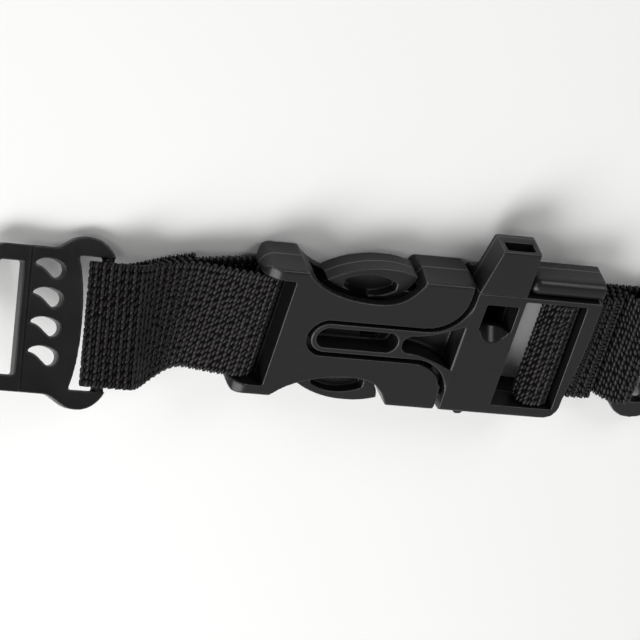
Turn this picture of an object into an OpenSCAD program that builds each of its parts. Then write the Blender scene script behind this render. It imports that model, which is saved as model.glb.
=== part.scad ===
// Chest strap with a side-release whistle buckle and two anchor plates.
// X runs along the strap, Y across it towards the whistle, Z is up out of the buckle's face.
// The origin is on the buckle's back face, which lies on the ground at Z = 0.

/* [Webbing] */
// Width of the webbing
webbing_w = 25; // [24.6:0.1:25.2]
// Thickness of the webbing
webbing_t = 1.4; // [1.2:0.1:1.4]
// Turn of the left anchor plate about the strap, in degrees
plate_twist = -33; // [-33:1:-24]

/* [Buckle] */
// Width of the buckle at its parting line
buckle_w = 31.6; // [31:0.1:33]
// Thickness of the buckle from back to face
buckle_t = 11; // [10.8:0.1:11.4]
// Thickness of the socket's front and back walls
wall_t = 2; // [1.8:0.1:2.1]
// Radius of the socket's strap bar
bar_r = 2; // [1.6:0.1:2]
// Play between the two halves of the buckle
play = 0.5; // [0.4:0.1:0.6]

/* [Whistle] */
// How far the mouthpiece stands out from the insert's rail
block_h = 10.7; // [9:0.1:12]
// Height of the windway
windway_h = 1.4; // [1:0.1:1.6]

/* [Anchor plate] */
// Length of the plate along its slots
plate_h = 34.4; // [33.4:0.1:34.4]
// Thickness of the plate
plate_t = 2.6; // [2.2:0.1:2.6]
// Width of the slot that takes the carrier's own strap
carrier_slot_w = 5; // [4.8:0.1:5.4]

/* [Hidden] */
$fn = 48;

moulded_black = "#2c2c2c";
webbing_black = "#1b191a";
thread_black = "#262425";

mid_z = buckle_t / 2;
half_w = buckle_w / 2;
cavity_low = wall_t;
cavity_high = buckle_t - wall_t;

// Places along the buckle
socket_end_x = -40.2;
socket_mouth_x = 5;
socket_bar_x = -37.9;
socket_slot_x = -33.2;
cavity_end_x = -28.2;
cavity_half_w = 13;
mouth_gap = 1.2;
insert_start_x = socket_mouth_x + mouth_gap;
insert_end_x = 33.6;
strap_slot_x0 = 17;
strap_slot_x1 = 30.6;
strap_slot_half = webbing_w / 2 + 0.3;
rail_y = 13.9;

// Guide tongue and the slot in the socket's face that takes it
guide_half_w = 3.45;
guide_gap = play + 0.45;
guide_slot_half = guide_half_w + guide_gap;
guide_tip_x = -26.2;
lobe_r = 7.6;

// Latch arms
arm_pivot_x = 3.6;
arm_pivot_y = 10;
arm_pivot_r = 2;
arm_half_t = 1.1;

// Loops of webbing round the bars
loop_gap = 0.3;
loop_r = bar_r + loop_gap + webbing_t / 2;
fold_gap = 0.1;

// Left strap: its line runs from the socket's bar to the left plate's bar
left_bar_x = -70.5;
left_bar_y = -1.7;
left_bar_z = 10.5;
twist_from_x = -49;
twist_to_x = -67;
pinch_x0 = -61;
pinch_x1 = -54;

// Right strap: heights of its layers above the ground
right_bar_x = 47;
under_z = webbing_t / 2 + 0.3;
strand_z = under_z + webbing_t + fold_gap;
tail_z = strand_z + webbing_t + fold_gap;
hem_gap = 0.5;
hem_x = 39.4;
hem_z = tail_z + webbing_t + hem_gap;
right_bar_z = under_z + loop_r;
ladder_x0 = 25.7;
ladder_x1 = 27;
ladder_r = 1.7;
ladder_z = 7.6;
ladder_loop_r = ladder_r + fold_gap + webbing_t / 2;
end_bar_low = tail_z + webbing_t / 2 + 0.4;

// Points of a cubic curve from a to d with handles b and c
function curve(a, b, c, d, n) = [
    for (i = [0 : n])
        let (t = i / n, s = 1 - t)
            s * s * s * a + 3 * s * s * t * b + 3 * s * t * t * c + t * t * t * d
];

// Points of an arc
function arc(centre, r, from, to, n) = [
    for (i = [0 : n])
        let (a = from + (to - from) * i / n)
            centre + r * [cos(a), sin(a)]
];

function mirrored(points) = [for (i = [len(points) - 1 : -1 : 0]) [points[i].x, -points[i].y]];
function smooth(t) = let (c = max(0, min(1, t))) c * c * (3 - 2 * c);

// Outline of a band of a given thickness along a path in the plane
function unit(v) = v / norm(v);
function along(p, i) = unit(p[min(i + 1, len(p) - 1)] - p[max(i - 1, 0)]);
function beside(p, i, d) = p[i] + d * [-along(p, i).y, along(p, i).x];
function band(p, t) = concat(
    [for (i = [0 : len(p) - 1]) beside(p, i, t / 2)],
    [for (i = [len(p) - 1 : -1 : 0]) beside(p, i, -t / 2)]
);

// Extrudes an outline drawn in X and Z across the strap
module across(w) {
    translate([0, w / 2, 0]) rotate([90, 0, 0]) linear_extrude(w) children();
}

// Extrudes an outline drawn in Y and Z along the strap
module lengthwise(x0, x1) {
    translate([x0, 0, 0]) rotate([90, 0, 90]) linear_extrude(x1 - x0) children();
}

module layer(z0, z1) {
    translate([0, 0, z0]) linear_extrude(z1 - z0) children();
}

// Section across the buckle: drafted sides that meet at the parting line, with soft edges
module buckle_section() {
    draft = 0.5;
    side_y = half_w - draft;
    edge_r = 0.8;
    face_corner = arc([side_y - edge_r, buckle_t - edge_r], edge_r, 0, 90, 6);
    quarter = concat([[half_w, mid_z]], face_corner);
    left = [for (i = [len(quarter) - 1 : -1 : 0]) [-quarter[i].x, quarter[i].y]];
    top = concat(quarter, left);
    bottom = [for (i = [len(top) - 1 : -1 : 0]) [top[i].x, buckle_t - top[i].y]];
    polygon(concat(top, [for (i = [1 : len(bottom) - 2]) bottom[i]]));
}

// Side cut-out of the socket, where a latch arm shows: a long slope and a steep locking wall
cut_top_y = 17;
cut_low = [-14.5, 9.1];
cut_edge = concat(
    curve([-32.2, cut_top_y], [-29.5, 11.6], [-22, cut_low.y], cut_low, 14),
    curve(cut_low, [-9.6, cut_low.y], [-7, 11.1], [-4.8, cut_top_y], 12)
);

// Face of the socket at its mouth: two round lobes beside the guide slot
module mouth_outline() {
    slot_l = 20;
    lobe = [socket_mouth_x - lobe_r, guide_slot_half + lobe_r];
    upper = concat(
        [[lobe.x - lobe_r, guide_slot_half]],
        arc(lobe, lobe_r, -90, 0, 12),
        [[socket_mouth_x, half_w + 1], [socket_mouth_x + 1, half_w + 1]]
    );
    polygon(concat(upper, mirrored(upper)));
    guide_tip = guide_tip_x + guide_half_w;
    translate([guide_tip, 0]) circle(guide_slot_half);
    translate([guide_tip, -guide_slot_half]) square([slot_l, 2 * guide_slot_half]);
}

module socket_shell() {
    nose_r = 4.4;
    corner_r = 3;
    corner_end_x = socket_end_x + corner_r + 4;
    color(moulded_black) difference() {
        intersection() {
            lengthwise(socket_end_x, socket_mouth_x) buckle_section();
            across(buckle_w + 2) polygon(concat(
                [[socket_mouth_x, 0], [socket_mouth_x, buckle_t]],
                arc([socket_end_x + nose_r, buckle_t - nose_r], nose_r, 90, 180, 10),
                arc([socket_end_x + nose_r, nose_r], nose_r, 180, 270, 10)
            ));
            layer(0, buckle_t) polygon(concat(
                [[socket_mouth_x, -half_w - 1], [socket_mouth_x, half_w + 1]],
                [[corner_end_x, half_w + 1]],
                arc([socket_end_x + corner_r, half_w - corner_r], corner_r, 90, 180, 8),
                arc([socket_end_x + corner_r, corner_r - half_w], corner_r, 180, 270, 8),
                [[corner_end_x, -half_w - 1]]
            ));
        }
        // Room for the insert, open at the mouth
        translate([cavity_end_x, -cavity_half_w, cavity_low])
            cube([socket_mouth_x + 1 - cavity_end_x, 2 * cavity_half_w, cavity_high - cavity_low]);
        // Slot for the webbing, which leaves only the round bar across the end
        translate([socket_end_x - 1, -strap_slot_half, -1])
            cube([socket_slot_x - socket_end_x + 1, 2 * strap_slot_half, buckle_t + 2]);
        for (side = [0, 1]) mirror([0, side, 0]) layer(-1, buckle_t + 1) polygon(cut_edge);
        layer(cavity_high - play, buckle_t + 1) mouth_outline();
    }
    color(moulded_black) translate([socket_bar_x, -strap_slot_half - 1, mid_z])
        rotate([-90, 0, 0]) cylinder(h = 2 * strap_slot_half + 2, r = bar_r);
}

// Recess along the guide tongue, with a deeper pocket, and the funnel behind it
module guide_recesses() {
    recess_half = 2.4;
    recess_deep = 4.6;
    recess_x0 = guide_tip_x + 1.2 + recess_half;
    recess_x1 = -7.4 - recess_half;
    layer(buckle_t - recess_deep, buckle_t + 1) {
        translate([recess_x0, 0]) circle(recess_half);
        translate([recess_x1, 0]) circle(recess_half);
        translate([recess_x0, -recess_half]) square([recess_x1 - recess_x0, 2 * recess_half]);
    }
    pocket = [4, 3.8];
    pocket_x = -14;
    layer(mid_z - 1.5, buckle_t + 1) translate([pocket_x, -pocket.y / 2]) square(pocket);
    funnel_deep = 5.4;
    funnel_neck = [-4.3, 2.1];
    funnel_side = curve(funnel_neck, [-2.4, 2.1], [1, 3], [5.8, 5.4], 8);
    funnel = concat(
        arc([funnel_neck.x, 0], funnel_neck.y, 162, 90, 4),
        [for (i = [1 : len(funnel_side) - 1]) funnel_side[i]]
    );
    layer(buckle_t - funnel_deep, buckle_t + 1) polygon(concat(funnel, mirrored(funnel)));
}

// Whistle: air from the mouthpiece crosses the sound window and meets the ramp's lip.
// The chamber lies below the window, and a cover closes it at the back.
window_x = 8.8;
window_l = 7;
window_y0 = 5;
window_y1 = 11.4;
chamber_y0 = 2.2;
chamber_high = 7.4;
cover_t = 1;
cover_ledge = 0.6;
windway_x = 9.4;
windway_l = 6.2;
windway_z = 8.6;

module windway(y0, y1) {
    translate([windway_x, y0, windway_z]) cube([windway_l, y1 - y0, windway_h]);
}

// Seat of the cover, or the cover itself with a little slip all round
module cover_block(low, slip) {
    out = cover_ledge - slip;
    translate([window_x - out, chamber_y0 - out, low])
        cube([window_l + 2 * out, window_y1 - chamber_y0 + 2 * out, cover_t - low]);
}

// Trough that rises from the lip to the face
module ramp_cut() {
    ramp_r = 3.4;
    rise = 44;
    lip_z = 8.4;
    ramp_l = 20;
    intersection() {
        translate([window_x + window_l / 2, window_y0, lip_z]) rotate([-rise, 0, 0])
            translate([0, ramp_l / 2, ramp_r]) rotate([90, 0, 0]) cylinder(h = ramp_l, r = ramp_r);
        translate([window_x, chamber_y0 - 1, chamber_high])
            cube([window_l, window_y0 + 1.5 - chamber_y0, buckle_t]);
    }
}

module whistle_cuts() {
    layer(mid_z, buckle_t + 1) translate([window_x, window_y0]) square([window_l, window_y1 - window_y0]);
    layer(cover_t - 0.1, chamber_high)
        translate([window_x, chamber_y0]) square([window_l, window_y1 - chamber_y0]);
    ramp_cut();
    windway(window_y1 - 0.5, rail_y + 2);
    cover_block(-1, 0);
}

module ladder_bar() {
    across(2 * strap_slot_half + 2) {
        for (x = [ladder_x0, ladder_x1]) translate([x, ladder_z]) circle(ladder_r);
        translate([ladder_x0, ladder_z - ladder_r]) square([ladder_x1 - ladder_x0, 2 * ladder_r]);
    }
}

module insert_outline() {
    corner_r = 3.5;
    low_y = 0.6 - half_w;
    bow = 1.3;
    corner = [insert_end_x - bow - corner_r, low_y + corner_r];
    polygon(concat(
        [[insert_start_x, -half_w - 1], [insert_start_x, rail_y], [insert_end_x, rail_y]],
        curve([insert_end_x, 5], [insert_end_x, -1],
            [corner.x + corner_r, corner.y + 4], [corner.x + corner_r, corner.y], 8),
        arc(corner, corner_r, -11, -90, 7)
    ));
}

// The flare that follows the socket's lobes from the tongue out to the frame
module flare_outline() {
    // The gap widens from the guide's own gap at the tongue to the mouth's gap at the rim
    flare_r = lobe_r + guide_gap;
    flare = [insert_start_x - flare_r, guide_half_w + flare_r];
    upper = concat(
        arc(flare, flare_r, -90, 0, 12),
        [[insert_start_x + 1, flare.y]]
    );
    polygon(concat(upper, mirrored(upper)));
}

module insert_frame() {
    plug_play = 0.4;
    plug_x = -3;
    plug_low = cavity_low + plug_play;
    plug_high = cavity_high - plug_play;
    plug_half = cavity_half_w - plug_play;
    guide_low = cavity_low + 1;
    guide_high = buckle_t - 0.1;
    guide_tip = guide_tip_x + guide_half_w;
    arm_slot_x = arm_pivot_x - 1;
    pocket_r = arm_pivot_r + 0.08;
    slot_y = guide_half_w + 1.4;
    slot_h = plug_high - plug_low + 1.3;
    stop_x = 11;
    stop_low = mid_z - 2;
    stop_high = buckle_t - 1;
    color(moulded_black) difference() {
        union() {
            intersection() {
                lengthwise(insert_start_x, insert_end_x) buckle_section();
                layer(0, buckle_t) insert_outline();
            }
            // Plug that fills the socket's mouth and carries the arms
            translate([plug_x, -plug_half, plug_low])
                cube([insert_start_x + 1 - plug_x, 2 * plug_half, plug_high - plug_low]);
            layer(guide_low, guide_high) {
                translate([guide_tip, 0]) circle(guide_half_w);
                translate([guide_tip, -guide_half_w])
                    square([insert_start_x + 1 - guide_tip, 2 * guide_half_w]);
            }
            layer(plug_high, guide_high) flare_outline();
            // Small moulded stop on the lower edge
            translate([stop_x, 0.7 - half_w, stop_low]) cylinder(h = stop_high - stop_low, r = 1.3);
        }
        // Slots for the arms, with a round seat for each root
        for (side = [-1, 1]) {
            translate([arm_pivot_x, side * arm_pivot_y, plug_low - 1])
                cylinder(h = slot_h, r = pocket_r);
            translate([plug_x - 1, side > 0 ? slot_y : -cavity_half_w, plug_low - 1])
                cube([arm_slot_x - plug_x + 1, cavity_half_w - slot_y, slot_h]);
        }
        guide_recesses();
        whistle_cuts();
        layer(-1, buckle_t + 1) translate([strap_slot_x0, -strap_slot_half])
            square([strap_slot_x1 - strap_slot_x0, 2 * strap_slot_half]);
        // Clearance under the end bar for the two layers of webbing, sloped where the tail rises
        slope = [1.8, 2];
        across(2 * strap_slot_half) polygon([
            [strap_slot_x1 - 1, -1], [insert_end_x + 1, -1], [insert_end_x + 1, end_bar_low],
            [strap_slot_x1 + slope.x, end_bar_low], [strap_slot_x1, end_bar_low + slope.y],
            [strap_slot_x1 - 1, end_bar_low + slope.y]
        ]);
    }
    color(moulded_black) ladder_bar();
}

// Latch arm on the whistle side: a root, a springy beam and a lens-shaped lug
module latch_arm() {
    lug_low = cavity_low + 0.5;
    lug_high = cavity_high - 0.5;
    beam_low = lug_low + 0.3;
    beam_high = lug_high - 0.3;
    lug_left = [-25.8, 12.4];
    lug_right = [-6.9, 15];
    lug_neck = [-10.5, arm_pivot_y];
    lug = concat(
        curve(lug_left, [-20.5, 16.4], [-12.5, 17.2], lug_right, 16),
        curve(lug_right, [-7.1, 13], [-8.2, 11.4], lug_neck, 8),
        curve(lug_neck, [-15, 8.9], [-21, 9.6], lug_left, 12)
    );
    dimple_x = -16.3;
    dimple_deep = 2.2;
    dimple = concat(
        arc([dimple_x, 3.2], 11.2, 60, 120, 10),
        arc([dimple_x, 19], 9.6, 234, 306, 10)
    );
    beam_x = -16;
    difference() {
        union() {
            layer(lug_low, lug_high) polygon(lug);
            translate([arm_pivot_x, arm_pivot_y, beam_low])
                cylinder(h = beam_high - beam_low, r = arm_pivot_r);
            translate([beam_x, arm_pivot_y - arm_half_t, beam_low])
                cube([arm_pivot_x - beam_x, 2 * arm_half_t, beam_high - beam_low]);
        }
        layer(lug_high - dimple_deep, lug_high + 1) polygon(dimple);
        layer(lug_low - 1, lug_low + dimple_deep) polygon(dimple);
    }
}

module upper_latch_arm() {
    color(moulded_black) latch_arm();
}

module lower_latch_arm() {
    color(moulded_black) mirror([0, 1, 0]) latch_arm();
}

// Mouthpiece: a block that stands out from the insert's edge, and the round rail beside it
block_tip_x = 8.4;
block_x1 = 16.8;
block_top_y = rail_y + block_h;
block_back_z = 4.2;

module block_section() {
    soft_r = 0.7;
    foot = [rail_y + 0.7, 0.6];
    polygon(concat(
        [[rail_y, buckle_t], [rail_y, foot.y]],
        curve(foot, [rail_y + 1.4, 3], [rail_y + 2.6, block_back_z], [rail_y + 4.1, block_back_z], 8),
        arc([block_top_y - soft_r, block_back_z + soft_r], soft_r, -90, 0, 5),
        arc([block_top_y - soft_r, buckle_t - soft_r], soft_r, 0, 90, 5)
    ));
}

module whistle_mouthpiece() {
    rail_r = 2.1;
    rail_low = 3.2;
    rail_high = buckle_t - 0.3;
    rail_x = 19.3;
    web_t = 2;
    mouth_h = 3;
    mouth_deep = 4;
    half_profile = concat(
        [[0, rail_low], [rail_r, rail_low]],
        arc([0, rail_high - rail_r], rail_r, 0, 90, 8)
    );
    color(moulded_black) difference() {
        union() {
            lengthwise(insert_start_x, block_x1) block_section();
            // The rail with its round end, and the web that joins it to the block
            translate([0, rail_y + rail_r, 0]) {
                lengthwise(rail_x, insert_end_x) polygon(concat(half_profile,
                    [for (i = [len(half_profile) - 2 : -1 : 1]) [-half_profile[i].x, half_profile[i].y]]));
                translate([rail_x, 0, 0]) rotate([0, 0, 90]) rotate_extrude(angle = 180)
                    polygon(half_profile);
            }
            translate([block_x1 - 0.5, rail_y, rail_low + 0.6])
                cube([rail_x - block_x1 + 0.5, web_t, rail_high - rail_r - rail_low - 1.2]);
        }
        // The side towards the socket leans in from the root to the mouth
        layer(-1, buckle_t + 1) polygon([
            [insert_start_x - 1, rail_y], [insert_start_x, rail_y], [block_tip_x, block_top_y],
            [block_tip_x, block_top_y + 1], [insert_start_x - 1, block_top_y + 1]
        ]);
        windway(rail_y - 1, block_top_y + 1);
        translate([windway_x, block_top_y - mouth_deep, windway_z + windway_h - mouth_h + 0.2])
            cube([windway_l, mouth_deep + 1, mouth_h]);
    }
}

module whistle_cover() {
    slip = 0.05;
    color(moulded_black) cover_block(0, slip);
}

// Anchor plate, lying in its own plane with the strap's bar on the Y axis
plate_left = -26;
plate_bar_r = plate_t / 2;
ear_x = 1.8;

// A comma: a round head at the lower right and a tail that sweeps to the upper left
module comma_hole() {
    head_r = 1.65;
    head_from = 60;
    head_to = -140;
    head = arc([0, 0], head_r, head_from, head_to, 10);
    tip = [-4.9, 0.9];
    polygon(concat(
        curve(tip, [-4.3, 2.2], [-1.4, 2.75], head[0], 7),
        head,
        curve(head[10], [-2.1, -0.4], [-3, 0.8], tip, 6)
    ));
}

module plate_outline() {
    half = plate_h / 2;
    waist = half - 2.6;
    corner_r = 4;
    upper = concat(
        arc([plate_left + corner_r, waist - corner_r], corner_r, 180, 90, 6),
        curve([-11.5, waist], [-9.5, waist], [-8, half], [-5, half], 7),
        curve([-4.4, half], [-1.6, half], [0.9, half - 2.2], [ear_x, half - 5], 8)
    );
    polygon(concat(upper, mirrored(upper)));
}

module anchor_plate() {
    slot_half = webbing_w / 2 + 0.8;
    slot_x = -6.5;
    slot_end_x = 7;
    bow = 2.4;
    carrier_half = slot_half - 2;
    carrier_x = -23.2;
    pad_x = -16.8;
    pad_t = 0.4;
    holes_x = -10.9;
    holes_y = 1.4;
    hole_step = 5.8;
    difference() {
        union() {
            layer(-plate_t / 2, plate_t / 2) plate_outline();
            // Raised pad round the carrier's slot
            layer(plate_t / 2 - 0.1, plate_t / 2 + pad_t) intersection() {
                plate_outline();
                translate([plate_left - 1, -plate_h / 2]) square([pad_x - plate_left + 1, plate_h]);
            }
        }
        layer(-plate_t, plate_t) {
            // Slot for the chest strap, bowed on the plate's side
            polygon(concat(
                curve([slot_x, -slot_half], [slot_x + bow, -slot_half / 2],
                    [slot_x + bow, slot_half / 2], [slot_x, slot_half], 8),
                [[slot_end_x, slot_half], [slot_end_x, -slot_half]]
            ));
            translate([carrier_x, -carrier_half]) square([carrier_slot_w, 2 * carrier_half]);
            for (i = [0 : 3]) translate([holes_x, holes_y + (1.5 - i) * hole_step]) comma_hole();
        }
    }
    translate([0, -slot_half - 0.6, 0]) rotate([-90, 0, 0])
        cylinder(h = 2 * slot_half + 1.2, r = plate_bar_r);
}

module left_anchor_plate() {
    color(moulded_black) translate([left_bar_x, left_bar_y, left_bar_z])
        rotate([plate_twist, 0, 0]) anchor_plate();
}

module right_anchor_plate() {
    lean = 5.5;
    color(moulded_black) translate([right_bar_x, 0, right_bar_z])
        rotate([0, lean, 0]) rotate([0, 0, 180]) anchor_plate();
}

// Left strap: one band looped round both bars, its ends overlapped and sewn at the pinch
function left_share(x) = smooth((x - twist_from_x) / (twist_to_x - twist_from_x));
function left_turn(x) = plate_twist * left_share(x);
function left_centre(x) = let (k = left_share(x)) [left_bar_y * k, mid_z + (left_bar_z - mid_z) * k];
function placed(x, y, z) = let (a = left_turn(x), c = left_centre(x))
    [x, c.x + y * cos(a) - z * sin(a), c.y + y * sin(a) + z * cos(a)];

layer_step = webbing_t + fold_gap;
puff = 1.5;
// Steps of a layer along the pinch. All layers share them, so that they turn together and stay apart.
function pinch_steps(from, to, z) = [for (x = [from : sign(to - from) : to]) [x, z]];
left_path = concat(
    pinch_steps(pinch_x0 - 1, pinch_x1 - 2, -layer_step / 2),
    curve([pinch_x1 - 1, -layer_step / 2], [pinch_x1 + 4, -layer_step / 2],
        [socket_bar_x - 5, -loop_r], [socket_bar_x, -loop_r], 10),
    arc([socket_bar_x, 0], loop_r, -75, 75, 12),
    curve([socket_bar_x, loop_r], [socket_bar_x - 5, loop_r],
        [pinch_x1 + 4, layer_step / 2], [pinch_x1, layer_step / 2], 10),
    pinch_steps(pinch_x1 - 1, pinch_x0 + 4, layer_step / 2),
    curve([pinch_x0 + 3, layer_step / 2], [pinch_x0 - 2, layer_step / 2 + 0.4],
        [pinch_x0 - 3, loop_r + puff], [left_bar_x + 4.5, loop_r + puff], 10),
    curve([left_bar_x + 3.4, loop_r + puff - 0.1], [left_bar_x + 1.6, loop_r + puff - 0.5],
        [left_bar_x - 0.2, loop_r + 0.3], [left_bar_x - 1.4, loop_r - 0.35], 5),
    arc([left_bar_x, 0], loop_r, 125, 270, 11),
    curve([left_bar_x + 2, -loop_r], [left_bar_x + 5, -loop_r],
        [pinch_x0 - 4, -1.5 * layer_step], [pinch_x0, -1.5 * layer_step], 7),
    pinch_steps(pinch_x0 + 1, pinch_x1, -1.5 * layer_step),
    [[pinch_x1 + 1.5, -1.5 * layer_step - 0.3]]
);

module left_strap() {
    half = webbing_w / 2;
    n = len(left_path);
    rows = 5;
    // Each ring has the outer face across the strap and then the inner face back
    ring_n = 2 * (rows + 1);
    points = [
        for (i = [0 : n - 1]) each concat(
            [for (j = [0 : rows]) let (p = beside(left_path, i, webbing_t / 2))
                placed(p.x, half * (2 * j / rows - 1), p.y)],
            [for (j = [rows : -1 : 0]) let (p = beside(left_path, i, -webbing_t / 2))
                placed(p.x, half * (2 * j / rows - 1), p.y)]
        )
    ];
    // All diagonals run the same way in plan, for the same reason as the steps
    sides = [
        for (i = [0 : n - 2], j = [0 : ring_n - 1])
            let (
                a = i * ring_n + j, b = i * ring_n + (j + 1) % ring_n, c = a + ring_n, d = b + ring_n,
                turned = (j <= rows) == (left_path[i + 1].x > left_path[i].x)
            )
                each (turned ? [[a, b, c], [b, d, c]] : [[a, b, d], [a, d, c]])
    ];
    last = (n - 1) * ring_n;
    caps = [
        for (j = [0 : rows - 1])
            let (k = ring_n - 1 - j)
                each [
                    [k, j + 1, j], [k, k - 1, j + 1],
                    [last + j, last + j + 1, last + k], [last + j + 1, last + k - 1, last + k]
                ]
    ];
    color(webbing_black) polyhedron(points = points, faces = concat(sides, caps));
}

module thread_bar(x, low, high, w) {
    bar_l = 1.2;
    translate([x - bar_l / 2, -w / 2, low]) cube([bar_l, w, high - low]);
}

module left_bar_tacks() {
    proud = 0.25;
    for (x = [pinch_x0 + 2.5, pinch_x1 - 1.5]) {
        c = left_centre(x);
        color(thread_black) translate([0, c.x, c.y]) rotate([left_turn(x), 0, 0])
            thread_bar(x, -2 * layer_step - proud, layer_step + proud, webbing_w - 3);
    }
}

// Right strap: hem, tail, over the ladder bar, back along the ground, round the plate's bar
right_path = concat(
    [[35.2, hem_z], [hem_x - 0.8, hem_z]],
    arc([hem_x, (hem_z + tail_z) / 2], (hem_z - tail_z) / 2, 90, -90, 10),
    [[hem_x - 0.8, tail_z], [33, tail_z]],
    curve([32.2, tail_z], [30.4, tail_z], [ladder_x1 + ladder_loop_r, tail_z + 0.5],
        [ladder_x1 + ladder_loop_r, ladder_z], 7),
    arc([ladder_x1, ladder_z], ladder_loop_r, 10, 90, 7),
    arc([ladder_x0, ladder_z], ladder_loop_r, 90, 255, 12),
    curve([ladder_x0 + 0.4, ladder_z - ladder_loop_r], [ladder_x0 + 2.5, ladder_z - ladder_loop_r],
        [ladder_x0 + 2.5, strand_z], [ladder_x0 + 5.5, strand_z], 6),
    [[38.5, strand_z]],
    curve([40, strand_z], [42.3, strand_z], [43.2, right_bar_z + 1.4],
        [right_bar_x - 1.9, right_bar_z + 2.35], 8),
    arc([right_bar_x, right_bar_z], loop_r, 115, -90, 16),
    [[right_bar_x - 2, under_z], [35.6, under_z]]
);

module right_strap() {
    color(webbing_black) across(webbing_w) polygon(band(right_path, webbing_t));
}

module right_bar_tacks() {
    proud = 0.2;
    for (x = [36.8, 39.4])
        color(thread_black)
            thread_bar(x, under_z - webbing_t / 2 - proud, strand_z + webbing_t / 2, webbing_w - 3);
}

module tail_hem_stitches() {
    proud = 0.2;
    for (x = [36.2, 38.9])
        color(thread_black)
            thread_bar(x, tail_z - webbing_t / 2, hem_z + webbing_t / 2 + proud, webbing_w - 3);
}

socket_shell();
insert_frame();
upper_latch_arm();
lower_latch_arm();
whistle_mouthpiece();
whistle_cover();
left_strap();
left_bar_tacks();
left_anchor_plate();
right_strap();
right_bar_tacks();
tail_hem_stitches();
right_anchor_plate();
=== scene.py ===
# %% [markdown]
# # A chest strap with a whistle buckle
#
# This is the chest strap of a pack: two moulded buckle halves with a whistle on one
# edge, two bands of webbing, and a moulded plate at each end. The CAD model already
# holds every piece at its real size and place. This lesson adds what the eye needs:
# soft moulded edges, woven webbing, thread, materials, light and a camera. All
# lengths in Blender are metres, in the CAD model's own frame.

import math
import random

import bmesh
import bpy
from mathutils import Matrix, Vector


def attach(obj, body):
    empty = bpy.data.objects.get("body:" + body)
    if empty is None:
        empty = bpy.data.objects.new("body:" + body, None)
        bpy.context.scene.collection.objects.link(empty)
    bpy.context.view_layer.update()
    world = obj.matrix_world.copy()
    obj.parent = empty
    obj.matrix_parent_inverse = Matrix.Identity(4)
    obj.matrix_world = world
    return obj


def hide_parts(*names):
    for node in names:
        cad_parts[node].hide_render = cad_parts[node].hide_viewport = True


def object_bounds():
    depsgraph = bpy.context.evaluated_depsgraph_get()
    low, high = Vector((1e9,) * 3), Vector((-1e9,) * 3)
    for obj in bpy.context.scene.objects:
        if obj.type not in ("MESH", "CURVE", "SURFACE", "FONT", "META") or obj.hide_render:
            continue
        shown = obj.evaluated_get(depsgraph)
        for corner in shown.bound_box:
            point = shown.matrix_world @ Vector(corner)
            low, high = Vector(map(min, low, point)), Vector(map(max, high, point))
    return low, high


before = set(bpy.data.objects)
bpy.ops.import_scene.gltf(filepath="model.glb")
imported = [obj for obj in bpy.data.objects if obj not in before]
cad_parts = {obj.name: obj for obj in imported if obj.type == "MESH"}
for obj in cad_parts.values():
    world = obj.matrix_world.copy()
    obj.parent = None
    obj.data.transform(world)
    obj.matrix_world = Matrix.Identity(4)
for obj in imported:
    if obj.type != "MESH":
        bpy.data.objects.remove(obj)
cad_box = [list(corner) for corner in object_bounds()]
MM = 0.001
print("CAD nodes:", len(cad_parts), "box in metres:", cad_box)

# %% [markdown]
# ## The camera
#
# The picture was taken from the strap's left, from the whistle's side and from above.
# A camera is three directions and a distance. The two directions below were fitted to
# points that are easy to find on the buckle, and the third follows from them. A long
# lens from far away keeps parallel edges nearly parallel, as in the picture.

# %% Camera
IMAGE_RIGHT = Vector((0.923, 0.2796, 0.264)).normalized()
TOWARDS_CAMERA = Vector((-0.376, 0.513, 0.772)).normalized()
IMAGE_UP = TOWARDS_CAMERA.cross(IMAGE_RIGHT)
LOOK_AT = Vector((-21.4, -1.8, 1.8)) * MM
FRAME_WIDTH = 129.3 * MM
LENS = 400

camera_data = bpy.data.cameras.new("camera")
camera_data.lens = LENS
camera = bpy.data.objects.new("camera", camera_data)
bpy.context.scene.collection.objects.link(camera)
camera_distance = FRAME_WIDTH * LENS / camera_data.sensor_width
turn = Matrix((IMAGE_RIGHT, IMAGE_UP, TOWARDS_CAMERA)).transposed()
camera.matrix_world = Matrix.Translation(LOOK_AT + TOWARDS_CAMERA * camera_distance) @ turn.to_4x4()
bpy.context.scene.camera = camera
print("camera stands", round(camera_distance, 3), "m away")

# %% [markdown]
# ## Three small helpers for materials
#
# Colours are written as the hex values that a colour picker shows. Shaders work in
# linear light, so one function turns hex to linear. The second adds a node: it sets
# the node's properties and then fills or links its sockets. The third starts an empty
# material.


# %% Material helpers
def linear(hex_colour):
    """An sRGB hex colour as linear RGBA."""
    parts = [int(hex_colour[i:i + 2], 16) / 255 for i in (1, 3, 5)]
    return [p / 12.92 if p <= 0.04045 else ((p + 0.055) / 1.055) ** 2.4 for p in parts] + [1.0]


def add(tree, kind, sockets=None, **settings):
    """Adds a node. settings are its properties, sockets its values or the outputs linked to it."""
    node = tree.nodes.new(kind)
    for name, value in settings.items():
        setattr(node, name, value)
    for socket, value in (sockets or {}).items():
        if isinstance(value, bpy.types.NodeSocket):
            tree.links.new(value, node.inputs[socket])
        else:
            node.inputs[socket].default_value = value
    return node


def new_material(name):
    """An empty material and its node tree."""
    material = bpy.data.materials.new(name)
    material.use_nodes = True
    material.node_tree.nodes.clear()
    return material, material.node_tree


print("middle grey in linear light:", [round(c, 4) for c in linear("#808080")])

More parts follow.
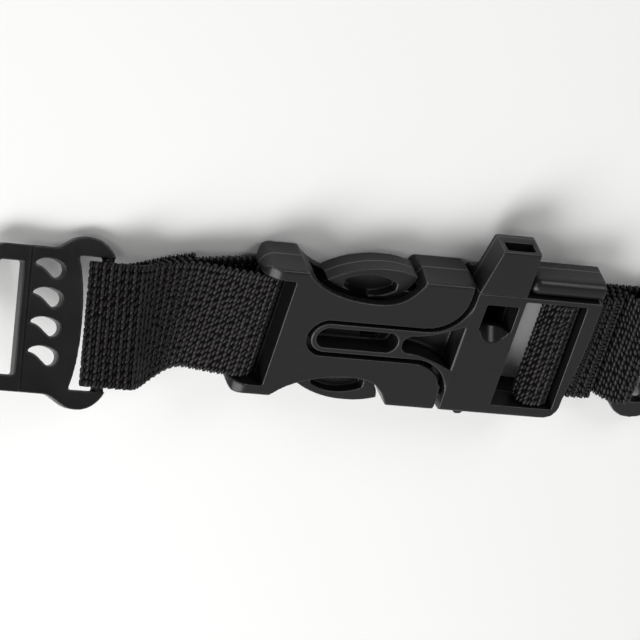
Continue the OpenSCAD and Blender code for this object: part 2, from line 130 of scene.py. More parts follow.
# %% [markdown]
# ## Moulded acetal
#
# The buckle, the whistle and the plates are acetal, moulded in a spark-eroded steel
# mould. That leaves a satin face with a very fine grain. The grain is drawn about
# 0.3 mm wide, because the real one is too fine to show. Faces that rub on cloth are
# polished in soft patches. The rounded edges are painted paler: partly wear where they
# catch, partly a painted highlight for the light that a rounded edge catches. An
# attribute that each piece stores is 1 along the rounded edges. Its fourth power drops
# off fast, so the pale mark doesn't spread along the long flat faces.
#
# The two halves of the mould meet at half the buckle's thickness and leave a fine line
# round its sides. The line is painted pale, as a painted highlight for the light that
# its small crease catches. The line could be stored on the mesh, but a material can find
# it from the height alone: it lies where the surface is upright and its height is
# right. The plates are flat mouldings without that line, so they get a plain version.

# %% Moulded acetal
GRAIN_MM = 0.3
GRAIN_DEPTH_MM = 0.02
PATCH_MM = 9.0
PARTING_Z_MM = 5.5
PARTING_HIGHLIGHT_MM = 0.3
UPRIGHT_LIMIT = 0.4
WEAR_AND_HIGHLIGHT_POWER = 4.0
# The pale grey that the edges mix towards stands for wear and for a painted highlight.
FACE_DARK, FACE_PALE, WEAR_AND_HIGHLIGHT_PALE = "#161616", "#1c1c1d", "#565656"


def parting_line_highlight(tree, coordinates):
    """A mask for a painted highlight: 1 on upright walls at the height where the mould's halves meet."""
    height = add(tree, "ShaderNodeSeparateXYZ", {"Vector": coordinates.outputs["Object"]})
    facing = add(tree, "ShaderNodeSeparateXYZ", {"Vector": coordinates.outputs["Normal"]})
    at_line = add(tree, "ShaderNodeMath", {
        0: height.outputs["Z"], 1: PARTING_Z_MM * MM, 2: PARTING_HIGHLIGHT_MM / 2 * MM}, operation="COMPARE")
    upright = add(tree, "ShaderNodeMath", {
        0: facing.outputs["Z"], 1: 0.0, 2: UPRIGHT_LIMIT}, operation="COMPARE")
    return add(tree, "ShaderNodeMath", {
        0: at_line.outputs[0], 1: upright.outputs[0]}, operation="MULTIPLY").outputs[0]


def moulded_acetal(name, has_parting_highlight):
    """Satin black acetal with a fine grain, paler at the rounded edges as wear and painted highlight, and
    with a painted highlight along the mould's parting line.
    """
    material, tree = new_material(name)
    coordinates = add(tree, "ShaderNodeTexCoord")
    place = coordinates.outputs["Object"]
    grain = add(tree, "ShaderNodeTexNoise", {
        "Vector": place, "Scale": 1 / (GRAIN_MM * MM), "Detail": 2.0, "Roughness": 0.6})
    patches = add(tree, "ShaderNodeTexNoise", {
        "Vector": place, "Scale": 1 / (PATCH_MM * MM), "Detail": 3.0, "Roughness": 0.55})
    wear_and_highlight = add(tree, "ShaderNodeAttribute", attribute_name="wear_and_highlight")
    at_edge = add(tree, "ShaderNodeMath", {0: wear_and_highlight.outputs["Fac"], 1: WEAR_AND_HIGHLIGHT_POWER}, operation="POWER")
    patchy_share = add(tree, "ShaderNodeMapRange", {
        "Value": patches.outputs["Fac"], "From Min": 0.35, "From Max": 0.65, "To Min": 0.35, "To Max": 1.0})
    broken_wear_and_highlight = add(tree, "ShaderNodeMath", {
        0: at_edge.outputs[0], 1: patchy_share.outputs["Result"]}, operation="MULTIPLY")
    face_colour = add(tree, "ShaderNodeMix", {
        "Factor": patches.outputs["Fac"], "A": linear(FACE_DARK), "B": linear(FACE_PALE)},
        data_type="RGBA")
    # Pale mix at the rounded edges: partly wear, partly a painted highlight.
    pale = broken_wear_and_highlight.outputs[0]
    # The parting line's pale mark is a painted highlight.
    if has_parting_highlight:
        pale = add(tree, "ShaderNodeMath", {
            0: pale, 1: parting_line_highlight(tree, coordinates)}, operation="MAXIMUM").outputs[0]
    colour = add(tree, "ShaderNodeMix", {
        "Factor": pale, "A": face_colour.outputs["Result"], "B": linear(WEAR_AND_HIGHLIGHT_PALE)}, data_type="RGBA")
    roughness = add(tree, "ShaderNodeMapRange", {
        "Value": patches.outputs["Fac"], "From Min": 0.3, "From Max": 0.7, "To Min": 0.26, "To Max": 0.36})
    bump = add(tree, "ShaderNodeBump", {
        "Height": grain.outputs["Fac"], "Strength": 0.25, "Distance": GRAIN_DEPTH_MM * MM})
    shader = add(tree, "ShaderNodeBsdfPrincipled", {
        "Base Color": colour.outputs["Result"], "Roughness": roughness.outputs["Result"],
        "Normal": bump.outputs["Normal"], "IOR": 1.48, "Specular IOR Level": 0.35})
    add(tree, "ShaderNodeOutputMaterial", {"Surface": shader.outputs["BSDF"]})
    return material


buckle_acetal = moulded_acetal("moulded_acetal_satin_black_parted", True)
plate_acetal = moulded_acetal("moulded_acetal_satin_black", False)
for acetal in (buckle_acetal, plate_acetal):
    print("material:", acetal.name, "with", len(acetal.node_tree.nodes), "nodes")

# %% [markdown]
# ## Soft moulded edges
#
# A mould never leaves a knife edge: every corner has a radius of a few tenths of a
# millimetre, and that radius is what catches the light. The CAD solids have sharp
# corners. A Bevel modifier could round them, but it stumbles where a cut leaves very
# short edges. Rebuilding the surface from small voxels works on any closed solid: the
# corners come out blunt, a few rounds of smoothing make them round, and flat faces
# stay flat. The surplus faces are then thinned out. The CAD mesh itself stays as it is.
#
# The stored attribute is high where the surface bends outwards. That is where cloth and
# fingers rub a piece and where a rounded edge catches the light, so the acetal paints
# it paler, partly as wear and partly as a painted highlight.


# %% Softened copies of the moulded pieces
MERGE_MM = 0.002
SMOOTHING_ROUNDS = 8
SMOOTHING_SHARE = 0.5
FULL_WEAR_AND_HIGHLIGHT_BEND = 0.9


def plain_mesh(piece):
    """Replaces a piece's modifiers by the mesh that they give."""
    graph = bpy.context.evaluated_depsgraph_get()
    mesh = bpy.data.meshes.new_from_object(piece.evaluated_get(graph))
    piece.modifiers.clear()
    piece.data = mesh
    return mesh


def store_wear_and_highlight(mesh):
    """Stores how far the edges at each vertex bend outwards together, from 0 to 1: the mask for edge wear and
    the painted edge highlight.
    """
    shape = bmesh.new()
    shape.from_mesh(mesh)
    bends = [sum(edge.calc_face_angle_signed(0.0) for edge in vertex.link_edges) for vertex in shape.verts]
    shape.free()
    wear_and_highlight = [min(1.0, max(0.0, bend / FULL_WEAR_AND_HIGHLIGHT_BEND)) for bend in bends]
    mesh.attributes.new("wear_and_highlight", "FLOAT", "POINT").data.foreach_set("value", wear_and_highlight)


def moulded_copy(node, name, acetal, voxel_mm, kept_share):
    """A copy of a CAD node with soft edges, rebuilt from voxels of the given size."""
    shape = bmesh.new()
    shape.from_mesh(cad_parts[node].data)
    bmesh.ops.remove_doubles(shape, verts=shape.verts, dist=MERGE_MM * MM)
    mesh = bpy.data.meshes.new(name)
    shape.to_mesh(mesh)
    shape.free()
    piece = bpy.data.objects.new(name, mesh)
    bpy.context.scene.collection.objects.link(piece)
    voxels = piece.modifiers.new("voxels", "REMESH")
    voxels.mode = "VOXEL"
    voxels.voxel_size = voxel_mm * MM
    voxels.use_smooth_shade = True
    soften = piece.modifiers.new("soften", "SMOOTH")
    soften.factor = SMOOTHING_SHARE
    soften.iterations = SMOOTHING_ROUNDS
    thin_out = piece.modifiers.new("thin_out", "DECIMATE")
    thin_out.ratio = kept_share
    mesh = plain_mesh(piece)
    mesh.materials.append(acetal)
    store_wear_and_highlight(mesh)
    return piece


# Each node's copy: its name, body and acetal, its voxels in mm and the share of faces kept
MOULDED = {
    "socket_shell": ("socket_moulding", "socket", buckle_acetal, 0.2, 0.3),
    "insert_frame": ("insert_moulding", "insert", buckle_acetal, 0.2, 0.3),
    "upper_latch_arm": ("upper_arm_moulding", "upper_arm", buckle_acetal, 0.15, 0.4),
    "lower_latch_arm": ("lower_arm_moulding", "lower_arm", buckle_acetal, 0.15, 0.4),
    "whistle_mouthpiece": ("whistle_mouthpiece_moulding", "insert", buckle_acetal, 0.18, 0.4),
    "whistle_cover": ("whistle_back_cover", "insert", plate_acetal, 0.15, 0.4),
    "left_anchor_plate": ("left_plate_moulding", "left_plate", plate_acetal, 0.2, 0.4),
    "right_anchor_plate": ("right_plate_moulding", "right_plate", plate_acetal, 0.2, 0.4),
}
for node, (name, body, acetal, voxel_mm, kept_share) in MOULDED.items():
    piece = moulded_copy(node, name, acetal, voxel_mm, kept_share)
    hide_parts(node)
    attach(piece, body)
    print(name, "has", len(piece.data.polygons), "faces")

# %% [markdown]
# ## Woven nylon and thread
#
# The webbing is nylon yarn, dyed black and woven in ribs across the band. Each yarn
# float is a small pillow that shines softly along its back, with dark gaps between.
# The floats are real geometry further down, so the material only needs a tone that
# differs from float to float, a fine twist and a sheen. The ground of the weave, which
# shows only in the gaps, is the same yarn with painted shade: its colour is darkened to
# stand for the shade in the gaps, and it is almost without gloss.
# The thread is polyester, a little smoother.

# %% Yarn materials
TWIST_MM = 0.22
TWIST_DEPTH_MM = 0.05
SHEEN_TINT = "#8a8084"


def yarn(name, dark, pale, roughness, shine):
    """A yarn whose tone attribute runs from dark to pale. shine scales its gloss and sheen."""
    material, tree = new_material(name)
    place = add(tree, "ShaderNodeTexCoord").outputs["Object"]
    tone = add(tree, "ShaderNodeAttribute", attribute_name="tone")
    colour = add(tree, "ShaderNodeMix", {
        "Factor": tone.outputs["Fac"], "A": linear(dark), "B": linear(pale)}, data_type="RGBA")
    twist = add(tree, "ShaderNodeTexNoise", {
        "Vector": place, "Scale": 1 / (TWIST_MM * MM), "Detail": 2.0, "Roughness": 0.6})
    bump = add(tree, "ShaderNodeBump", {
        "Height": twist.outputs["Fac"], "Strength": 0.5, "Distance": TWIST_DEPTH_MM * MM})
    shader = add(tree, "ShaderNodeBsdfPrincipled", {
        "Base Color": colour.outputs["Result"], "Roughness": roughness, "Normal": bump.outputs["Normal"],
        "IOR": 1.5, "Specular IOR Level": 0.5 * shine,
        "Sheen Weight": 0.12 * shine, "Sheen Roughness": 0.4, "Sheen Tint": linear(SHEEN_TINT)})
    add(tree, "ShaderNodeOutputMaterial", {"Surface": shader.outputs["BSDF"]})
    return material


webbing_yarn = yarn("woven_nylon_black", "#0d0b0c", "#241f21", 0.5, 0.75)
# The ground's dark colours are painted shade for the gaps between the floats.
webbing_painted_shade = yarn("woven_nylon_painted_shade_black", "#070607", "#0c0a0b", 0.9, 0.15)
sewing_thread = yarn("polyester_thread_black", "#121011", "#221f20", 0.45, 1.0)
print("materials:", webbing_yarn.name, webbing_painted_shade.name, sewing_thread.name)

# %% [markdown]
# ## The paths of the two bands
#
# Each band is a flat strip that runs along a path drawn from the side, in X and Z.
# The paths repeat the CAD model's own sizes in millimetres. The left band also turns
# about X on its way to the plate, so a point beside the path is placed by a small
# turn. A frame is all that later steps need at one place: a centre, the direction
# along the band, the direction across it and the direction out of its face.

# %% Path helpers
WEBBING_W = 25.0
WEBBING_T = 1.4
BAR_R = 2.0
LOOP_GAP = 0.3
LOOP_R = BAR_R + LOOP_GAP + WEBBING_T / 2
FOLD_GAP = 0.1
LAYER_STEP = WEBBING_T + FOLD_GAP
MID_Z = 5.5
SHORTEST_SPAN = 1e-9


def curve(a, b, c, d, count):
    """Points of a cubic curve from a to d with handles b and c."""
    a, b, c, d = Vector(a), Vector(b), Vector(c), Vector(d)
    share = [i / count for i in range(count + 1)]
    return [(1 - t) ** 3 * a + 3 * (1 - t) ** 2 * t * b + 3 * (1 - t) * t * t * c + t ** 3 * d for t in share]


def arc(centre, radius, start, end, count):
    """Points of an arc, with its angles in degrees."""
    angles = [math.radians(start + (end - start) * i / count) for i in range(count + 1)]
    return [Vector(centre) + radius * Vector((math.cos(a), math.sin(a))) for a in angles]


def even_steps(path, step):
    """The path's point and direction at even steps along it."""
    lengths = [0.0]
    for a, b in zip(path, path[1:]):
        lengths.append(lengths[-1] + (b - a).length)
    count = int(lengths[-1] / step)
    margin = (lengths[-1] - count * step) / 2
    places, at = [], 0
    for i in range(count + 1):
        distance = margin + i * step
        while at < len(path) - 2 and lengths[at + 1] < distance:
            at += 1
        span = max(lengths[at + 1] - lengths[at], SHORTEST_SPAN)
        point = path[at].lerp(path[at + 1], min(1.0, (distance - lengths[at]) / span))
        before, after = path[max(at - 1, 0)], path[min(at + 2, len(path) - 1)]
        places.append((point, (after - before).normalized()))
    return places


print("a loop of webbing has a radius of", LOOP_R, "mm at its middle")

# %% Left band
# The two bars, the degrees that the band turns by and where, the pinch, and the bulge before the plate
SOCKET_BAR_X = -37.9
LEFT_BAR = Vector((-70.5, -1.7, 10.5))
TWIST = -33.0
TWIST_FROM_X, TWIST_TO_X = -49.0, -67.0
PINCH_X0, PINCH_X1 = -61.0, -54.0
PUFF = 1.5

# The three layers' heights where they are pinched together
UPPER_LAYER, MIDDLE_LAYER, LOWER_LAYER = LAYER_STEP / 2, -LAYER_STEP / 2, -1.5 * LAYER_STEP

left_path = (
    [Vector((PINCH_X0 - 1, MIDDLE_LAYER))]
    + curve((PINCH_X1 - 1, MIDDLE_LAYER), (PINCH_X1 + 4, MIDDLE_LAYER),
            (SOCKET_BAR_X - 5, -LOOP_R), (SOCKET_BAR_X, -LOOP_R), 12)
    + arc((SOCKET_BAR_X, 0), LOOP_R, -75, 75, 14)
    + curve((SOCKET_BAR_X, LOOP_R), (SOCKET_BAR_X - 5, LOOP_R),
            (PINCH_X1 + 4, UPPER_LAYER), (PINCH_X1, UPPER_LAYER), 12)
    + curve((PINCH_X0 + 3, UPPER_LAYER), (PINCH_X0 - 2, UPPER_LAYER + 0.4),
            (PINCH_X0 - 3, LOOP_R + PUFF), (LEFT_BAR.x + 4.5, LOOP_R + PUFF), 12)
    + curve((LEFT_BAR.x + 3.4, LOOP_R + PUFF - 0.1), (LEFT_BAR.x + 1.6, LOOP_R + PUFF - 0.5),
            (LEFT_BAR.x - 0.2, LOOP_R + 0.3), (LEFT_BAR.x - 1.4, LOOP_R - 0.35), 6)
    + arc((LEFT_BAR.x, 0), LOOP_R, 125, 270, 14)
    + curve((LEFT_BAR.x + 2, -LOOP_R), (LEFT_BAR.x + 5, -LOOP_R),
            (PINCH_X0 - 4, LOWER_LAYER), (PINCH_X0, LOWER_LAYER), 8)
    + [Vector((PINCH_X1, LOWER_LAYER)), Vector((PINCH_X1 + 1.5, LOWER_LAYER - 0.3))]
)


def left_frame(point, direction):
    """Centre, along, across and out, in millimetres, at a place on the left band's path."""
    share = max(0.0, min(1.0, (point.x - TWIST_FROM_X) / (TWIST_TO_X - TWIST_FROM_X)))
    share = share * share * (3 - 2 * share)
    angle = math.radians(TWIST) * share
    across = Vector((0, math.cos(angle), math.sin(angle)))
    up = Vector((0, -math.sin(angle), math.cos(angle)))
    middle = Vector((point.x, LEFT_BAR.y * share, MID_Z + (LEFT_BAR.z - MID_Z) * share))
    along = Vector((direction.x, 0, 0)) + up * direction.y
    return middle + up * point.y, along, across, along.cross(across)


print("left band's path has", len(left_path), "points")

# %% Right band
# The heights of the layers, from the ground up, then the hem, the plate's bar and the ladder bar
GROUND_GAP, HEM_GAP = 0.3, 0.5
UNDER_Z = WEBBING_T / 2 + GROUND_GAP
STRAND_Z = UNDER_Z + LAYER_STEP
TAIL_Z = STRAND_Z + LAYER_STEP
HEM_X, HEM_Z = 39.4, TAIL_Z + WEBBING_T + HEM_GAP
RIGHT_BAR_X, RIGHT_BAR_Z = 47.0, UNDER_Z + LOOP_R
LADDER_X0, LADDER_X1, LADDER_Z, LADDER_R = 25.7, 27.0, 7.6, 1.7
LADDER_LOOP_R = LADDER_R + FOLD_GAP + WEBBING_T / 2

right_path = (
    [Vector((35.2, HEM_Z)), Vector((HEM_X - 0.8, HEM_Z))]
    + arc((HEM_X, (HEM_Z + TAIL_Z) / 2), (HEM_Z - TAIL_Z) / 2, 90, -90, 10)
    + [Vector((HEM_X - 0.8, TAIL_Z)), Vector((33, TAIL_Z))]
    + curve((32.2, TAIL_Z), (30.4, TAIL_Z), (LADDER_X1 + LADDER_LOOP_R, TAIL_Z + 0.5),
            (LADDER_X1 + LADDER_LOOP_R, LADDER_Z), 8)
    + arc((LADDER_X1, LADDER_Z), LADDER_LOOP_R, 10, 90, 8)
    + arc((LADDER_X0, LADDER_Z), LADDER_LOOP_R, 90, 255, 14)
    + curve((LADDER_X0 + 0.4, LADDER_Z - LADDER_LOOP_R), (LADDER_X0 + 2.5, LADDER_Z - LADDER_LOOP_R),
            (LADDER_X0 + 2.5, STRAND_Z), (LADDER_X0 + 5.5, STRAND_Z), 8)
    + [Vector((38.5, STRAND_Z))]
    + curve((40, STRAND_Z), (42.3, STRAND_Z), (43.2, RIGHT_BAR_Z + 1.4),
            (RIGHT_BAR_X - 1.9, RIGHT_BAR_Z + 2.35), 8)
    + arc((RIGHT_BAR_X, RIGHT_BAR_Z), LOOP_R, 115, -90, 18)
    + [Vector((RIGHT_BAR_X - 2, UNDER_Z)), Vector((35.6, UNDER_Z))]
)


def right_frame(point, direction):
    """Centre, along, across and out, in millimetres, at a place on the right band's path."""
    along, across = Vector((direction.x, 0, direction.y)), Vector((0, 1, 0))
    return Vector((point.x, 0, point.y)), along, across, along.cross(across)


print("right band's path has", len(right_path), "points")

# %% [markdown]
# ## The body of each band
#
# Under the yarn floats lies the dense core of the weave, a strip 0.9 mm thick with
# rounded sides. It is lofted: the same small outline is set down at every step of the
# path, and neighbouring outlines are joined by faces. The ends are closed.

# %% Band cores
CORE_T = 0.9
SELVEDGE_ROOM = 0.25
CORE_W = WEBBING_W - 2 * SELVEDGE_ROOM
CORE_ROWS = 8
LOFT_STEP = 0.5


def core_outline():
    """The strip's outline as pairs: across and out, in millimetres."""
    radius, flat = CORE_T / 2, CORE_W / 2 - CORE_T / 2
    top = [(flat * (2 * i / CORE_ROWS - 1), radius) for i in range(CORE_ROWS + 1)]
    angles = [math.radians(degrees) for degrees in (45, 0, -45)]
    right = [(flat + radius * math.cos(a), radius * math.sin(a)) for a in angles]
    bottom = [(-y, -z) for y, z in top]
    left = [(-y, -z) for y, z in right]
    return top + right + bottom + left


def band_core(name, path, place):
    """The band's core, lofted along its path. place gives the frame at a point of the path."""
    outline = core_outline()
    shape = bmesh.new()
    rings = []
    for point, direction in even_steps(path, LOFT_STEP):
        centre, along, across, out = place(point, direction)
        rings.append([shape.verts.new((centre + across * y + out * z) * MM) for y, z in outline])
    for a, b in zip(rings, rings[1:]):
        for i in range(len(outline)):
            j = (i + 1) % len(outline)
            shape.faces.new((a[i], a[j], b[j], b[i]))
    shape.faces.new(rings[0][::-1])
    shape.faces.new(rings[-1])
    bmesh.ops.recalc_face_normals(shape, faces=shape.faces)
    mesh = bpy.data.meshes.new(name)
    shape.to_mesh(mesh)
    shape.free()
    for polygon in mesh.polygons:
        polygon.use_smooth = True
    mesh.attributes.new("tone", "FLOAT", "POINT")
    # The core wears the yarn's colour with painted shade, as it shows only in the gaps.
    mesh.materials.append(webbing_painted_shade)
    piece = bpy.data.objects.new(name, mesh)
    bpy.context.scene.collection.objects.link(piece)
    return piece


left_band = band_core("left_webbing", left_path, left_frame)
right_band = band_core("right_webbing", right_path, right_frame)
print("cores:", len(left_band.data.polygons), "and", len(right_band.data.polygons), "faces")

# %% [markdown]
# ## Yarn floats, by Geometry Nodes
#
# The face of the webbing is ribs of yarn floats, 1.5 mm from rib to rib and about
# 1.25 mm from float to float. The gaps between floats differ by a seeded chance. The
# floats overlap and lie at a slant, so that a rib looks like a slack twisted rope.
# Between the ribs the crossing yarn shows as longer, lower floats, darkened with painted
# shade for the gaps they lie in, and at both edges the rib yarn turns over to the other
# face as the selvedge.
#
# Thousands of almost equal small shapes on a surface are what Geometry Nodes are for.
# The tree puts one domed pillow on each vertex of a cloud of points and turns each a
# little, by chance. Each point carries the direction along the yarn and the direction
# out of the cloth. Stitches are the same kind of thing, so the same tree makes them.

# %% The tree that sets pillows on points
PILLOW_INPUTS = ("Length", "Width", "Height", "Dark Tone", "Pale Tone", "Loose Turn")
PILLOW_BALL = {"Segments": 8, "Rings": 6, "Radius": 0.5}
BURIED_BELOW = -0.1
TURN_SEED, TONE_SEED = 3, 7


def pillow_tree():
    """The Geometry Nodes tree that sets a domed pillow on each point."""
    tree = bpy.data.node_groups.new("yarn_pillows", "GeometryNodeTree")
    tree.interface.new_socket("Geometry", in_out="INPUT", socket_type="NodeSocketGeometry")
    for name in PILLOW_INPUTS:
        tree.interface.new_socket(name, in_out="INPUT", socket_type="NodeSocketFloat")
    tree.interface.new_socket("Material", in_out="INPUT", socket_type="NodeSocketMaterial")
    tree.interface.new_socket("Geometry", in_out="OUTPUT", socket_type="NodeSocketGeometry")
    given = add(tree, "NodeGroupInput").outputs
    ball = add(tree, "GeometryNodeMeshUVSphere", PILLOW_BALL)
    position = add(tree, "GeometryNodeInputPosition")
    height = add(tree, "ShaderNodeSeparateXYZ", {"Vector": position.outputs["Position"]})
    buried = add(tree, "FunctionNodeCompare", {
        "A": height.outputs["Z"], "B": BURIED_BELOW}, operation="LESS_THAN")
    dome = add(tree, "GeometryNodeDeleteGeometry", {
        "Geometry": ball.outputs["Mesh"], "Selection": buried.outputs[0]})
    size = add(tree, "ShaderNodeCombineXYZ", {
        "X": given["Length"], "Y": given["Width"], "Z": given["Height"]})
    pillow = add(tree, "GeometryNodeTransform", {
        "Geometry": dome.outputs["Geometry"], "Scale": size.outputs["Vector"]})
    out = add(tree, "GeometryNodeInputNamedAttribute", {"Name": "out"}, data_type="FLOAT_VECTOR")
    along = add(tree, "GeometryNodeInputNamedAttribute", {"Name": "along"}, data_type="FLOAT_VECTOR")
    upright = add(tree, "FunctionNodeAlignRotationToVector", {
        "Vector": out.outputs["Attribute"]}, axis="Z")
    turned = add(tree, "FunctionNodeAlignRotationToVector", {
        "Rotation": upright.outputs["Rotation"], "Vector": along.outputs["Attribute"]},
        axis="X", pivot_axis="Z")
    other_way = add(tree, "ShaderNodeMath", {0: given["Loose Turn"], 1: -1.0}, operation="MULTIPLY")
    chance = add(tree, "FunctionNodeRandomValue", {
        2: other_way.outputs[0], 3: given["Loose Turn"], "Seed": TURN_SEED}, data_type="FLOAT")
    loose = add(tree, "FunctionNodeAxisAngleToRotation", {"Axis": (0, 0, 1), "Angle": chance.outputs[1]})
    final_turn = add(tree, "FunctionNodeRotateRotation", {
        "Rotation": turned.outputs["Rotation"], "Rotate By": loose.outputs["Rotation"]},
        rotation_space="LOCAL")
    set_down = add(tree, "GeometryNodeInstanceOnPoints", {
        "Points": given["Geometry"], "Instance": pillow.outputs["Geometry"],
        "Rotation": final_turn.outputs["Rotation"]})
    tone = add(tree, "FunctionNodeRandomValue", {
        2: given["Dark Tone"], 3: given["Pale Tone"], "Seed": TONE_SEED}, data_type="FLOAT")
    toned = add(tree, "GeometryNodeStoreNamedAttribute", {
        "Geometry": set_down.outputs["Instances"], "Name": "tone", "Value": tone.outputs[1]},
        data_type="FLOAT", domain="INSTANCE")
    real = add(tree, "GeometryNodeRealizeInstances", {"Geometry": toned.outputs["Geometry"]})
    smooth = add(tree, "GeometryNodeSetShadeSmooth", {"Geometry": real.outputs["Geometry"]})
    finished = add(tree, "GeometryNodeSetMaterial", {
        "Geometry": smooth.outputs["Geometry"], "Material": given["Material"]})
    add(tree, "NodeGroupOutput", {"Geometry": finished.outputs["Geometry"]})
    return tree


pillows = pillow_tree()
print("tree:", pillows.name, "with", len(pillows.nodes), "nodes")


# %% Points to pillows
def pillows_on(name, places, sizes_mm, tones, loose_turn, material):
    """A piece with one pillow at each place: a point, a direction along and one out, in millimetres."""
    values = [size * MM for size in sizes_mm] + list(tones) + [loose_turn]
    mesh = bpy.data.meshes.new(name)
    mesh.from_pydata([point * MM for point, along, out in places], [], [])
    for label, index in (("along", 1), ("out", 2)):
        directions = [c for spot in places for c in spot[index]]
        mesh.attributes.new(label, "FLOAT_VECTOR", "POINT").data.foreach_set("vector", directions)
    piece = bpy.data.objects.new(name, mesh)
    bpy.context.scene.collection.objects.link(piece)
    modifier = piece.modifiers.new("pillows", "NODES")
    modifier.node_group = pillows
    for item in pillows.interface.items_tree:
        if item.in_out == "INPUT" and item.name in PILLOW_INPUTS:
            modifier[item.identifier] = values[PILLOW_INPUTS.index(item.name)]
        elif item.in_out == "INPUT" and item.name == "Material":
            modifier[item.identifier] = material
    plain_mesh(piece)
    return piece


def join(piece, other):
    """Adds another piece's mesh to this one."""
    with bpy.context.temp_override(
            active_object=piece, object=piece,
            selected_objects=[piece, other], selected_editable_objects=[piece, other]):
        bpy.ops.object.join()


# %% Yarn floats of both bands
RIB_STEP = 1.5
FLOAT_STEP = 1.25
CROSSING_STEP = 1.7
EDGE_MARGIN = 0.5
FLOAT_REACH = CORE_W / 2 - EDGE_MARGIN
GAP_SPREAD = 0.25
FLOAT_LEAN = math.radians(-16)
FLOAT_SINK = 0.05
LOOSE_TURN = math.radians(8)

# Each kind of float: its length, width and height in mm, and its darkest and palest tone
RIB_FLOAT = ((1.65, 0.76, 0.7), (0.2, 1.0))
# The crossing floats' near-darkest tones are painted shade for the gaps between the ribs.
CROSSING_FLOAT_IN_PAINTED_SHADE = ((1.5, 0.5, 0.24), (0.0, 0.1))
SELVEDGE_FLOAT = ((1.25, 0.95, 0.5), (0.3, 0.9))


def float_rows(path, place, first_step, float_step):
    """Places of floats across the band: every second half rib along the path, from the given one."""
    places = []
    gap_count = round(2 * FLOAT_REACH / float_step)
    slack = random.Random(first_step)
    for point, direction in even_steps(path, RIB_STEP / 2)[first_step::2]:
        centre, along, across, out = place(point, direction)
        yarn_way = across * math.cos(FLOAT_LEAN) + along * math.sin(FLOAT_LEAN)
        gaps = [slack.uniform(1 - GAP_SPREAD, 1 + GAP_SPREAD) for _ in range(gap_count)]
        y = -FLOAT_REACH
        for gap in [0] + gaps:
            y += 2 * FLOAT_REACH * gap / sum(gaps)
            for face in (out, -out):
                places.append((centre + across * y + face * (CORE_T / 2 - FLOAT_SINK), yarn_way, face))
    return places


def selvedge(path, place):
    """Places of the floats that turn over both edges of the band."""
    places = []
    for point, direction in even_steps(path, RIB_STEP):
        centre, along, across, out = place(point, direction)
        for edge in (across, -across):
            places.append((centre + edge * (CORE_W / 2), out, edge))
    return places


for band, path, place, node, body in (
        (left_band, left_path, left_frame, "left_strap", "left_strap"),
        (right_band, right_path, right_frame, "right_strap", "insert")):
    for kind, (sizes_mm, tones), places in (
            ("ribs", RIB_FLOAT, float_rows(path, place, 0, FLOAT_STEP)),
            ("crossing", CROSSING_FLOAT_IN_PAINTED_SHADE, float_rows(path, place, 1, CROSSING_STEP)),
            ("selvedge", SELVEDGE_FLOAT, selvedge(path, place))):
        floats = pillows_on(band.name + "_" + kind, places, sizes_mm, tones, LOOSE_TURN, webbing_yarn)
        join(band, floats)
        print(band.name, kind, len(places), "floats")
    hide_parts(node)
    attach(band, body)
    triangles = sum(len(polygon.vertices) - 2 for polygon in band.data.polygons)
    print(band.name, "has", triangles, "triangles")

# %% [markdown]
# ## Bar tacks and the hem
#
# Where a band is folded back on itself it is closed with bar tacks: rows of close
# zigzag stitches right across the band. Each stitch is a thin pillow of thread that
# leans left and right in turn. The rows lie on the outer faces of the layers.

# %% Stitches
STITCH_STEP = 0.42
STITCH_SIZE = (1.5, 0.36, 0.4)
STITCH_TONES = (0.4, 1.0)
STITCH_LEAN = math.radians(14)
ROW_INSET = 1.5
ROW_W = WEBBING_W - 2 * ROW_INSET
LEFT_TACKS_X = (PINCH_X0 + 2.5, PINCH_X1 - 1.5)
RIGHT_TACKS_X = (36.8, 39.4)
HEM_ROWS_X = (36.2, 38.9)
TACK_SINK, HEM_SINK = 0.05, 0.02


def stitch_row(x, faces, place):
    """Places of one zigzag row across a band. A face is its height in the path's drawing and its side."""
    places = []
    count = int(ROW_W / STITCH_STEP)
    for height, side in faces:
        centre, along, across, out = place(Vector((x, height)), Vector((-1, 0)))
        face = out * side
        for i in range(count + 1):
            lean = STITCH_LEAN * (1 if i % 2 else -1)
            y = (i / count - 0.5) * ROW_W
            places.append((centre + across * y, along * math.cos(lean) + across * math.sin(lean), face))
    return places


left_faces = [(UPPER_LAYER + WEBBING_T / 2, 1), (LOWER_LAYER - WEBBING_T / 2, -1)]
right_faces = [(UNDER_Z - WEBBING_T / 2 + TACK_SINK, -1)]
hem_faces = [(HEM_Z + WEBBING_T / 2 - HEM_SINK, 1)]

# Each thread's node, body, band, rows along the band, and the faces that it lies on
THREADS = {
    "left_bar_tack_thread": ("left_bar_tacks", "left_strap", left_frame, LEFT_TACKS_X, left_faces),
    "right_bar_tack_thread": ("right_bar_tacks", "insert", right_frame, RIGHT_TACKS_X, right_faces),
    "tail_hem_thread": ("tail_hem_stitches", "insert", right_frame, HEM_ROWS_X, hem_faces),
}
for name, (node, body, place, rows_x, faces) in THREADS.items():
    places = [spot for x in rows_x for spot in stitch_row(x, faces, place)]
    piece = pillows_on(name, places, STITCH_SIZE, STITCH_TONES, 0.0, sewing_thread)
    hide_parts(node)
    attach(piece, body)
    print(name, "has", len(places), "stitches")

# %% [markdown]
# ## Floor, light and colour
#
# The floor is a plain pale sheet under the buckle's back. Black plastic shows little but
# reflections, so each lamp stands where one kind of surface mirrors it to the camera. A
# wide, weak panel is mirrored by the flat faces. The key, to the left and in front,
# lights the floor and the ends that face the plate. Two small lamps behind draw the
# bright lines on the rounded upper edges and on the socket's nose. The world adds an
# even fill.

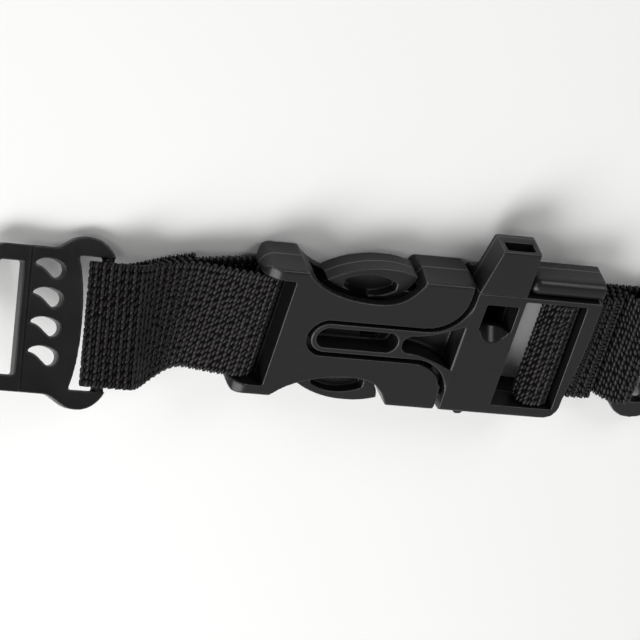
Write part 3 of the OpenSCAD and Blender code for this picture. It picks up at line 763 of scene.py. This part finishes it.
# %% Floor
FLOOR_SIDE = 4.0
FLOOR_GAP_MM = 0.02

floor_mesh = bpy.data.meshes.new("floor")
half = FLOOR_SIDE / 2
corners = [(-half, -half, 0), (half, -half, 0), (half, half, 0), (-half, half, 0)]
floor_mesh.from_pydata(corners, [], [(0, 1, 2, 3)])
floor = bpy.data.objects.new("floor", floor_mesh)
floor.location.z = cad_box[0][2] - FLOOR_GAP_MM * MM
bpy.context.scene.collection.objects.link(floor)
floor_paint, tree = new_material("pale_floor")
shader = add(tree, "ShaderNodeBsdfPrincipled", {"Base Color": linear("#f5f5f4"), "Roughness": 0.9})
add(tree, "ShaderNodeOutputMaterial", {"Surface": shader.outputs["BSDF"]})
floor_mesh.materials.append(floor_paint)
print("floor at", round(floor.location.z / MM, 3), "mm")

# %% Lamps and world
WORLD_FILL = 0.15

# Each lamp: the direction to it, its distance and its side in metres, and its watts
LAMPS = {
    "key": ((-0.52, -0.52, 0.68), 0.7, 0.5, 4.7),
    "face_panel": ((0.376, -0.513, 0.772), 1.0, 1.6, 3.6),
    "edge_light": ((0.42, 0.75, 0.5), 0.6, 0.25, 0.8),
    "nose_light": ((-0.6, 0.27, 0.69), 0.6, 0.12, 0.35),
}


def soft_lamp(name, direction, distance, side, watts):
    """A square lamp that looks at the middle of the picture."""
    lamp = bpy.data.lights.new(name, "AREA")
    lamp.size = side
    lamp.energy = watts
    holder = bpy.data.objects.new(name, lamp)
    holder.location = LOOK_AT + Vector(direction).normalized() * distance
    holder.rotation_mode = "QUATERNION"
    holder.rotation_quaternion = (LOOK_AT - holder.location).to_track_quat("-Z", "Y")
    bpy.context.scene.collection.objects.link(holder)


for name, settings in LAMPS.items():
    soft_lamp(name, *settings)
world = bpy.data.worlds.new("even_fill")
world.use_nodes = True
background = world.node_tree.nodes["Background"]
background.inputs["Color"].default_value = linear("#ffffff")
background.inputs["Strength"].default_value = WORLD_FILL
bpy.context.scene.world = world
bpy.context.scene.view_settings.view_transform = "Standard"
print("lamps:", ", ".join(LAMPS))
